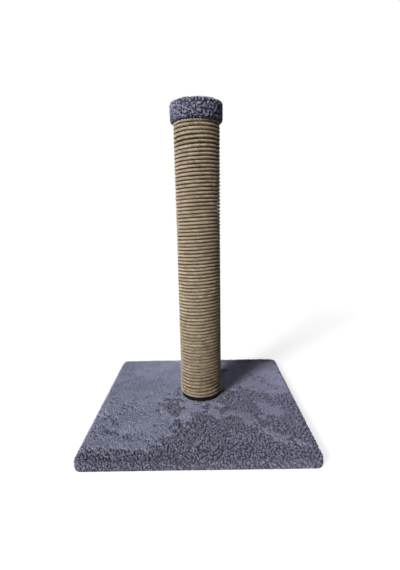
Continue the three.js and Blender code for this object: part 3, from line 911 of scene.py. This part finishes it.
def tuck_in(points, skin, outs, roundings):
    """Draws points in to the rounded edges of the pile.

    skin is a plan place on the cloth's side for each lock, and outs the way out from it. Each rounding
    gives how far out from the skin and how high its middle is, 1 for an upper edge or -1 for a lower
    one, and its radius.
    """
    outward = ((points[..., :2] - skin[:, None]) * outs[:, None]).sum(axis=-1)
    for reach, height, facing, radius in roundings:
        beyond = np.maximum(outward - reach, 0)
        above = np.maximum(facing * (points[..., 2] - height), 0)
        distance = np.hypot(beyond, above)
        pull = np.where((beyond > 0) & (above > 0), 1 - radius / np.maximum(distance, radius), 0)
        points[..., :2] -= (pull * beyond)[..., None] * outs[:, None]
        points[..., 2] -= pull * facing * above


def scattered(width, height, spacing):
    """Places spread over a rectangle from (0, 0), one in each cell of a grid."""
    columns, rows = round(width / spacing), round(height / spacing)
    cells = np.stack(np.meshgrid(np.arange(columns), np.arange(rows)), axis=-1).reshape(-1, 2)
    inside = cells + rng.uniform(0.05, 0.95, cells.shape)
    return inside * [width / columns, height / rows]


def level_surface(places, middle, height):
    """Roots on a level surface at a height, from plan places measured from its middle."""
    count = len(places)
    roots = np.column_stack([places + middle, np.full(count, height - ROOT_DEPTH)])
    directions = [np.tile(axis, (count, 1)) for axis in ([0, 0, 1.0], [1.0, 0, 0], [0, 1.0, 0])]
    return Surface(roots, *directions, places)


def edge_surface(places, outs, plan, height, radius, start=HALF_TURN / 2, passed=0.0):
    """Roots on a rounded edge and the wall under it.

    plan and height are the middle of the edge's rounding at each place. The edge turns down from
    start, its angle above level, where so much of the way down the surface is passed.
    """
    down = places[:, 1] - passed
    arc = radius * HALF_TURN / 2
    tilt = start - HALF_TURN / 2 * np.clip(down / arc, 0, 1)
    drop = np.maximum(down - arc, 0)
    ways = in_space(outs)
    normals = np.cos(tilt)[:, None] * ways + np.sin(tilt)[:, None] * UP
    along = np.sin(tilt)[:, None] * ways - np.cos(tilt)[:, None] * UP
    across = in_space(quarter_turned(outs))
    middle = np.column_stack([plan, np.full(len(outs), height)])
    roots = middle + (radius - ROOT_DEPTH) * normals - drop[:, None] * UP
    return Surface(roots, normals, across, along, places)


# How far outside the foot's flange the pile starts, and how far out it is still pressed down. It is
# pressed least at the left of the post, and by PRESS_ADDED more elsewhere. LEFT_SIDE gives the share
# of the way out that runs along x where that starts and is complete.
FOOT_CLEARANCE = 1.4 * MM
FOOT_PRESS = 9 * MM
LEFT_PRESS = 0.1
PRESS_ADDED = 0.4
LEFT_SIDE = (-0.95, -0.45)
# The way that brushed pile lies, and how it wanders from there.
SWIRL_HEADING = 1.7
SWIRL = ((0.5, 60 * MM, 21), (0.35, 18 * MM, 22))


def base_top_pile(material):
    """The pile of the base's top, in four quarters, with none under the foot of the post."""
    flat_half = BASE_HALF - BASE_PILE - CLOTH_EDGE
    corner = flat_half - BASE_CORE
    places = scattered(2 * flat_half, 2 * flat_half, LOCK_SPACING) - flat_half
    beyond = np.maximum(np.abs(places) - BASE_CORE, 0)
    places = places[np.linalg.norm(beyond, axis=1) <= corner]
    places = places[np.linalg.norm(places - POST, axis=1) > FLANGE_RADIUS + FOOT_CLEARANCE]
    from_post = places - POST
    distance = np.linalg.norm(from_post, axis=1)
    press = 1 - smooth_step(0, FOOT_PRESS, distance - FLANGE_RADIUS)
    press *= LEFT_PRESS + PRESS_ADDED * smooth_step(*LEFT_SIDE, from_post[:, 0] / distance)
    nap, parted = base_nap(places)
    nap = np.maximum(nap, press)
    swirl = SWIRL_HEADING + wander(places, SWIRL)
    away = from_post / distance[:, None]
    lean_way = unit(headings(swirl) * (1 - press)[:, None] + 2 * away * press[:, None])
    surface = level_surface(places, 0, BASE_TOP - BASE_PILE)
    points, tones = grow_locks(surface, nap, lean_way, BASE_LOOK, press, parted * (1 - press))
    points[..., 2] = np.minimum(points[..., 2], BASE_TOP)
    # Painted shade: the pile's colour is darkened under these strokes, though its locks lie as elsewhere.
    turned = stroke_cover(places, PAINTED_NAP_SHADE)
    tones *= np.stack([1 - 0.7 * turned, np.ones(len(turned)), 1 - turned], axis=1)[:, None]
    pieces = []
    for left, front in itertools.product((True, False), repeat=2):
        inside = ((places[:, 0] < 0) == left) & ((places[:, 1] < 0) == front)
        name = f"base_pile_{'front' if front else 'back'}_{'left' if left else 'right'}"
        pieces.append(pile_piece(name, points[inside], tones[inside], material))
    return pieces


LOWEST_ROOT = 1.5 * MM


def base_side_pile(material):
    """The pile of the base's rounded top edge and its sides, combed a little downwards."""
    arc = CLOTH_EDGE * HALF_TURN / 2
    top = BASE_TOP - BASE_PILE
    wall = top - CLOTH_EDGE - LOWEST_ROOT
    places = scattered(BASE_LAP, arc + wall, 0.95 * LOCK_SPACING)
    cores, outs = outline_places(places[:, 0], BASE_CORE, BASE_CORNER)
    reach = BASE_CORNER - BASE_PILE - CLOTH_EDGE
    surface = edge_surface(places, outs, cores + outs * reach, top - CLOTH_EDGE, CLOTH_EDGE)
    on_edge = 1 - smooth_step(0, 1, places[:, 1] / arc)
    nap = base_nap(surface.roots[:, :2])[0] * on_edge * 0.8 + 0.1 * (1 + noise(places, 12 * MM, 31))
    sway = 0.5 * noise(places, 16 * MM, 32)
    lean_way = headings(HALF_TURN / 2 - sway)
    points, tones = grow_locks(surface, nap, lean_way, SIDE_LOOK)
    roundings = (
        (BASE_PILE - BASE_TOP_ROUNDING, BASE_TOP - BASE_TOP_ROUNDING, 1, BASE_TOP_ROUNDING),
        (BASE_PILE - BASE_BOTTOM_ROUNDING, BASE_BOTTOM_ROUNDING, -1, BASE_BOTTOM_ROUNDING),
    )
    tuck_in(points, cores + outs * (BASE_CORNER - BASE_PILE), outs, roundings)
    points[..., 2] = np.maximum(points[..., 2], FLOOR_GAP)
    return pile_piece("base_pile_sides", points, tones, material)


def cap_pile(material):
    """The cap's pile in tight curls: on its top disc, its upper edge and side, and its lower edge."""
    top = cap_high.z - CAP_PILE
    side = CAP_RADIUS - CAP_PILE
    flat = side - CAP_TOP_EDGE
    upper_arc = CAP_TOP_EDGE * HALF_TURN / 2
    wall = top - CAP_TOP_EDGE - cap_low.z - CAP_HEM_EDGE
    lower_arc = CAP_HEM_EDGE * HALF_TURN / 2
    spacing = 0.9 * LOCK_SPACING
    disc = scattered(2 * flat, 2 * flat, spacing) - flat
    disc = disc[np.linalg.norm(disc, axis=1) <= flat]
    places = scattered(TURN * side, upper_arc + wall, spacing)
    outs = headings(places[:, 0] / side)
    edge = edge_surface(places, outs, POST + outs * flat, top - CAP_TOP_EDGE, CAP_TOP_EDGE)
    lower = scattered(TURN * side, lower_arc, spacing)
    outs = headings(lower[:, 0] / side)
    plan = POST + outs * (side - CAP_HEM_EDGE)
    lower = lower + [0, upper_arc + wall]
    tucked = edge_surface(
        lower, outs, plan, cap_low.z + CAP_HEM_EDGE, CAP_HEM_EDGE, start=0, passed=upper_arc + wall
    )
    surface = joined([level_surface(disc, POST, top), edge, tucked])
    nap = 0.1 * (1 + noise(surface.places, 7 * MM, 41))
    lean_way = headings(TURN * noise(surface.places, 6 * MM, 42))
    points, tones = grow_locks(surface, nap, lean_way, CAP_LOOK)
    upper = cap_high.z - CAP_TOP_ROUNDING
    under = cap_low.z + CAP_BOTTOM_ROUNDING - CAP_HANG
    roundings = (
        (CAP_PILE - CAP_TOP_ROUNDING, upper, 1, CAP_TOP_ROUNDING),
        (CAP_PILE - CAP_BOTTOM_ROUNDING, under, -1, CAP_BOTTOM_ROUNDING),
    )
    outs = unit(surface.roots[:, :2] - POST)
    tuck_in(points, POST + outs * side, outs, roundings)
    off_rope = np.linalg.norm(points[..., :2] - POST, axis=-1) > ROPE_REACH
    lowest = cap_low.z - CAP_HANG * off_rope
    points[..., 2] = np.clip(points[..., 2], lowest, cap_high.z - CAP_SETTLE)
    return pile_piece("cap_pile", points, tones, material)


# ---------------------------------------------------------------- rope

rope_low = winding_low.z + ROPE_RADIUS + 0.05 * MM
rope_high = winding_high.z - ROPE_RADIUS - 0.05 * MM
rope_pitch = (rope_high - rope_low) / ROPE_ROWS
rope_centre = TUBE_RADIUS + ROPE_TUBE_GAP + ROPE_RADIUS


def rope_height(turns):
    """Height of the rope's middle after so many turns.

    The first rows lie flat and climb at the back, the last climb early and end flat, and the rest
    rise evenly.
    """
    row = np.clip(np.floor(turns), 0, ROPE_ROWS - 1)
    share = turns - row
    from_end = ROPE_ROWS - 1 - row
    late = np.minimum(1, SHORTEST_CLIMB + CLIMB_GROWTH * row)
    early = np.minimum(1, SHORTEST_CLIMB + CLIMB_GROWTH * from_end)
    climb = np.where(row < from_end, (share - 1 + late) / late, share / early)
    even = (late >= 1) & (early >= 1)
    climb = np.where(even, share, np.clip(climb, 0, 1))
    eased = climb * climb * (3 - 2 * climb)
    climb = np.where(even, climb, 0.5 * climb + 0.5 * eased)
    return rope_low + rope_pitch * (row + climb)


def strand_outline():
    """Distance from the rope's middle to its outline at each section point, and how high each stands.

    Each strand's first point lies in the groove between it and the strand before.
    """
    step = TURN / (ROPE_STRANDS * STRAND_POINTS)
    off_crest = (np.arange(ROPE_STRANDS * STRAND_POINTS) % STRAND_POINTS - STRAND_POINTS / 2) * step
    centre = ROPE_RADIUS - STRAND_RADIUS
    reach = centre * np.cos(off_crest) + np.sqrt(STRAND_RADIUS**2 - (centre * np.sin(off_crest)) ** 2)
    crest = (reach - reach.min()) / (reach.max() - reach.min())
    return reach, crest


# How the rope wanders along its length, as wander takes it: in thickness, as a share, outwards,
# upwards and in its lay, as a share.
THICKNESS_WANDER = ((0.03, 23 * MM, 51), (0.02, 8 * MM, 52))
OUTWARD_WANDER = ((0.12 * MM, 31 * MM, 53),)
UPWARD_WANDER = ((0.14 * MM, 40 * MM, 54),)
LAY_WANDER = ((0.08, 120 * MM, 55),)


def rope_piece(material):
    """One unbroken three-strand rope, right-hand laid, wound up the post as a right-handed helix."""
    turn_length = TURN * rope_centre
    steps = round(ROPE_ROWS * turn_length / ROPE_LAY * STEPS_PER_LAY)
    turns = np.linspace(0.004, ROPE_ROWS - 0.012, steps)
    length = turns * turn_length
    out = in_space(headings(ROPE_START + turns * TURN))
    line = length[:, None]
    thick = 1 + wander(line, THICKNESS_WANDER)
    centre = out * (rope_centre + wander(line, OUTWARD_WANDER))[:, None]
    centre[:, :2] += POST
    centre[:, 2] = rope_height(turns) + wander(line, UPWARD_WANDER)
    lay = ROPE_LAY * (1 + wander(line, LAY_WANDER))
    twist = -np.cumsum(np.gradient(length) / lay) * TURN
    reach, crest = strand_outline()
    points_round = len(reach)
    section = np.arange(points_round) * TURN / points_round
    phase = twist[:, None] + section[None]
    sideways = reach * np.cos(phase) * thick[:, None]
    upward = reach * np.sin(phase) * thick[:, None]
    for name in ("rope_staple_foot", "rope_staple_top"):
        sideways = pressed_by(name, centre, sideways)
    points = centre[:, None] + sideways[..., None] * out[:, None] + upward[..., None] * UP
    last_ring = (steps - 1) * points_round
    ends = [list(range(points_round)), list(range(last_ring, last_ring + points_round))[::-1]]
    faces = band_faces(points_round, steps).tolist() + ends
    piece = new_piece("rope", points.reshape(-1, 3), faces, material)
    strand = np.repeat(np.arange(ROPE_STRANDS), STRAND_POINTS)
    strand_line = np.stack(np.broadcast_arrays(line, 0.5 * strand[None]), axis=-1).reshape(-1, 2)
    own_tone = 0.5 + 0.5 * noise(strand_line, 60 * MM, 56)
    tones = np.zeros((steps * points_round, 3))
    tones[:, 0] = np.tile(crest, steps)
    tones[:, 1] = own_tone
    # Painted shade between the rows: how far each point faces the row above or below.
    rise = np.sin(phase).ravel()
    tones[:, 2] = np.maximum(UPPER_SHADE * rise, -rise)
    set_tones(piece, "strand", tones)
    map_rope(piece, turns, length, twist, section, points_round)
    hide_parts("rope_winding")
    return piece


# How near a staple the rope is pressed in fully and how far off it is free, and how far out from its
# middle it then reaches, in its own radius.
STAPLE_HOLDS = 6 * MM
STAPLE_FREES = 12 * MM
HELD_REACH = 0.28
FREE_REACH = 1.1


def pressed_by(staple, centre, sideways):
    """The rope's outward reach, pressed in where a staple's crown holds it to the tube."""
    low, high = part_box(staple)
    middle = np.array((low + high) / 2)
    middle[:2] = POST + unit(middle[:2] - POST) * rope_centre
    distance = np.linalg.norm(centre - middle, axis=1)
    hold = 1 - smooth_step(STAPLE_HOLDS, STAPLE_FREES, distance)
    limit = ROPE_RADIUS * (FREE_REACH + (HELD_REACH - FREE_REACH) * hold)
    return np.minimum(sideways, limit[:, None])


def map_rope(piece, turns, length, twist, section, points_round):
    """The rope's maps: yarn, in metres along and across the rope, and one row a turn for baking."""
    mesh = piece.data
    corner = np.empty(len(mesh.loops), np.int32)
    mesh.loops.foreach_get("vertex_index", corner)
    step, column = corner // points_round, corner % points_round
    starts = np.empty(len(mesh.polygons), np.int32)
    totals = np.empty(len(mesh.polygons), np.int32)
    mesh.polygons.foreach_get("loop_start", starts)
    mesh.polygons.foreach_get("loop_total", totals)
    face_of_corner = np.repeat(np.arange(len(starts)), totals)
    lowest = np.minimum.reduceat(column, starts)[face_of_corner]
    highest = np.maximum.reduceat(column, starts)[face_of_corner]
    wraps = (highest - lowest > points_round / 2) & (column < points_round / 2)
    around = column + points_round * wraps
    across = (around * TURN / points_round + 0.85 * twist[step]) * ROPE_RADIUS
    set_map(piece, "yarn", np.stack([length[step], across], axis=1))
    first_step = np.minimum.reduceat(step, starts)[face_of_corner]
    row = np.floor(turns[first_step])
    u = np.clip(turns[step] - row, 0, 1)
    v = (row + 0.04 + 0.92 * around / points_round) / ROPE_ROWS
    set_map(piece, "OFBake", np.stack([0.002 + 0.996 * u, v], axis=1))


# Stray fibres: how many, their least and greatest length and rise in mm, and their radius at the root
# and in the middle.
FUZZ_COUNT = 5200
FUZZ_LENGTHS = (2.5, 7)
FUZZ_RISES = (0.2, 0.9)
FUZZ_RADII = (0.09 * MM, 0.07 * MM)


def rope_fuzz(material):
    """Stray fibres that have worked loose from the rope, most of them lying along it."""
    turns = rng.uniform(0.02, ROPE_ROWS - 0.05, FUZZ_COUNT)
    plan = headings(ROPE_START + turns * TURN)
    out = in_space(plan)
    ahead = in_space(quarter_turned(plan))
    slope = rng.uniform(-0.9, 0.9, FUZZ_COUNT)
    surface = np.cos(slope)[:, None] * out + np.sin(slope)[:, None] * UP
    centre = out * rope_centre
    centre[:, :2] += POST
    centre[:, 2] = rope_height(turns)
    root = centre + surface * (0.86 * ROPE_RADIUS)
    side = np.where(rng.random(FUZZ_COUNT) < 0.5, -1, 1)[:, None] * ahead
    heading = unit(side + 0.35 * rng.standard_normal((FUZZ_COUNT, 3)))
    long = rng.uniform(*FUZZ_LENGTHS, FUZZ_COUNT)[:, None] * MM
    middle = root + heading * long * 0.5 + surface * rng.uniform(*FUZZ_RISES, FUZZ_COUNT)[:, None] * MM
    tip = middle + unit(heading + 0.5 * surface * rng.standard_normal((FUZZ_COUNT, 1))) * long * 0.5
    points = np.empty((FUZZ_COUNT, LOCK_POINTS, 3))
    sideways = unit(np.cross(heading, surface))
    other = np.cross(heading, sideways)
    for ring, (place, radius) in enumerate(zip((root, middle), FUZZ_RADII)):
        put_ring(points, ring, place, sideways, other, radius)
    points[:, -1] = tip
    return pile_piece("rope_fuzz", points, np.ones(points.shape), material)


# ---------------------------------------------------------------- materials of the CAD pieces


def dress_cad_pieces():
    """Gives every CAD piece that stays the material of its slot."""
    materials = {
        "board": board_material(),
        "paper_tube": tube_material(),
        "liner": liner_material(),
        "black_plastic": plastic_material(),
        "steel": metal_material("zinc_steel", colour(150, 152, 156), colour(196, 198, 202), 0.34),
        "brass": metal_material("brass", colour(168, 138, 78), colour(206, 176, 108), 0.28),
    }
    for name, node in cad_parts.items():
        wears = node.material_slots[0].material.name if node.material_slots else ""
        for slot, material in materials.items():
            if wears.startswith(slot):
                node.material_slots[0].material = material


# ---------------------------------------------------------------- floor, light and camera


FLOOR_HALF = 40
FLOOR_BOUNCE = 0.2
FLOOR_SHADOW = 0.3
FLOOR_GLOW = 0.8


def seen_directly(nodes):
    """1 for what the camera sees, also in a shiny or clear surface, and 0 for light on the object."""
    path = nodes.node("ShaderNodeLightPath")
    seen = nodes.math("MAXIMUM", path.outputs["Is Camera Ray"], path.outputs["Is Glossy Ray"])
    return nodes.math("MAXIMUM", seen, path.outputs["Is Transmission Ray"])


def make_floor():
    """A wide pale floor that looks white to the camera, and keeps the object's shadow."""
    corners = [(-1, -1), (1, -1), (1, 1), (-1, 1)]
    mesh = bpy.data.meshes.new("floor")
    mesh.from_pydata([(FLOOR_HALF * x, FLOOR_HALF * y, 0) for x, y in corners], [], [range(4)])
    floor = placed("floor", mesh)
    m = Nodes("pale_floor")
    plain = m.node("ShaderNodeBsdfDiffuse", Color=grey(FLOOR_BOUNCE))
    pale = m.node("ShaderNodeBsdfDiffuse", Color=grey(FLOOR_SHADOW))
    glow = m.node("ShaderNodeEmission", Color=grey(1), Strength=FLOOR_GLOW)
    lit = m.node("ShaderNodeAddShader")
    m.put(lit.inputs[0], pale.outputs[0])
    m.put(lit.inputs[1], glow.outputs[0])
    both = m.mix_shaders(seen_directly(m), plain, lit)
    m.put(m.tree.nodes["Material Output"].inputs["Surface"], both)
    mesh.materials.append(m.material)


LEVEL_SKY = 0.05
OVERHEAD_SKY = 0.12


def make_world():
    """Soft studio light that is brightest overhead, and a white background."""
    world = bpy.data.worlds.new("studio")
    bpy.context.scene.world = world
    world.use_nodes = True
    m = Nodes.of_tree(world.node_tree)
    world.node_tree.nodes.clear()
    towards = m.node("ShaderNodeTexCoord").outputs["Generated"]
    height = m.node("ShaderNodeSeparateXYZ", Vector=towards).outputs["Z"]
    level = m.spread(height, 0.0, 1.0, LEVEL_SKY, OVERHEAD_SKY)
    soft = m.node("ShaderNodeBackground", Color=grey(1), Strength=level)
    white = m.node("ShaderNodeBackground", Color=grey(1), Strength=1.0)
    both = m.mix_shaders(seen_directly(m), soft, white)
    m.put(m.node("ShaderNodeOutputWorld").inputs["Surface"], both)


# Each lamp's bearing and elevation, its level, and how wide it looks from the object.
LAMPS = {
    "key": (math.radians(-129), math.radians(29), 1.5, math.radians(15)),
    "fill": (math.radians(97), math.radians(6), 0.18, math.radians(30)),
}


def direction(bearing, elevation):
    """The way to a bearing, counter-clockwise from +X seen from above, and an elevation."""
    reach = math.cos(elevation)
    return Vector((reach * math.cos(bearing), reach * math.sin(bearing), math.sin(elevation)))


def make_lamp(name):
    """The key is a soft light from the front left, from above, and the fill a weak one from behind."""
    bearing, elevation, level, softness = LAMPS[name]
    lamp = bpy.data.lights.new(name, "SUN")
    lamp.energy = level * math.pi
    lamp.angle = softness
    holder = placed(name, lamp)
    towards = direction(bearing, elevation)
    holder.rotation_mode = "QUATERNION"
    holder.rotation_quaternion = towards.to_track_quat("Z", "Y")
    holder.location = towards


PHOTO_HEIGHT = 570
SENSOR = 36
FOCAL_PIXELS = 354.44
CAMERA_PLACE = (9.9 * MM, -676.3 * MM, 391.63 * MM)
CAMERA_PITCH = math.radians(13.38)
CAMERA_YAW = math.radians(-0.30)
CAMERA_ROLL = math.radians(-1.06)
CENTRE_DROP_PIXELS = 15


def make_camera():
    """The photograph's camera: in front of the post, two thirds up its height, looking a little down."""
    data = bpy.data.cameras.new("camera")
    data.sensor_width = SENSOR
    data.lens = FOCAL_PIXELS * SENSOR / PHOTO_HEIGHT
    data.shift_y = CENTRE_DROP_PIXELS / PHOTO_HEIGHT
    camera = placed("camera", data)
    ahead = direction(HALF_TURN / 2 - CAMERA_YAW, -CAMERA_PITCH)
    level = direction(-CAMERA_YAW, 0)
    upright = level.cross(ahead)
    right = math.cos(CAMERA_ROLL) * level + math.sin(CAMERA_ROLL) * upright
    up = math.cos(CAMERA_ROLL) * upright - math.sin(CAMERA_ROLL) * level
    turned = Matrix((right, up, -ahead)).transposed().to_4x4()
    camera.matrix_world = Matrix.Translation(CAMERA_PLACE) @ turned
    bpy.context.scene.camera = camera


# ---------------------------------------------------------------- the whole scene

bpy.context.scene.view_settings.view_transform = "Standard"
make_camera()
make_floor()
make_world()
for lamp_name in LAMPS:
    make_lamp(lamp_name)

dress_cad_pieces()
cloth = cloth_material()
pile = pile_material()
base_plush = base_cloth(cloth)
base_piles = base_top_pile(pile) + [base_side_pile(pile)]
cap_plush = cap_cloth(cloth)
cap_curls = cap_pile(pile)
rope_piece(rope_material())
rope_fuzz(fuzz_material())
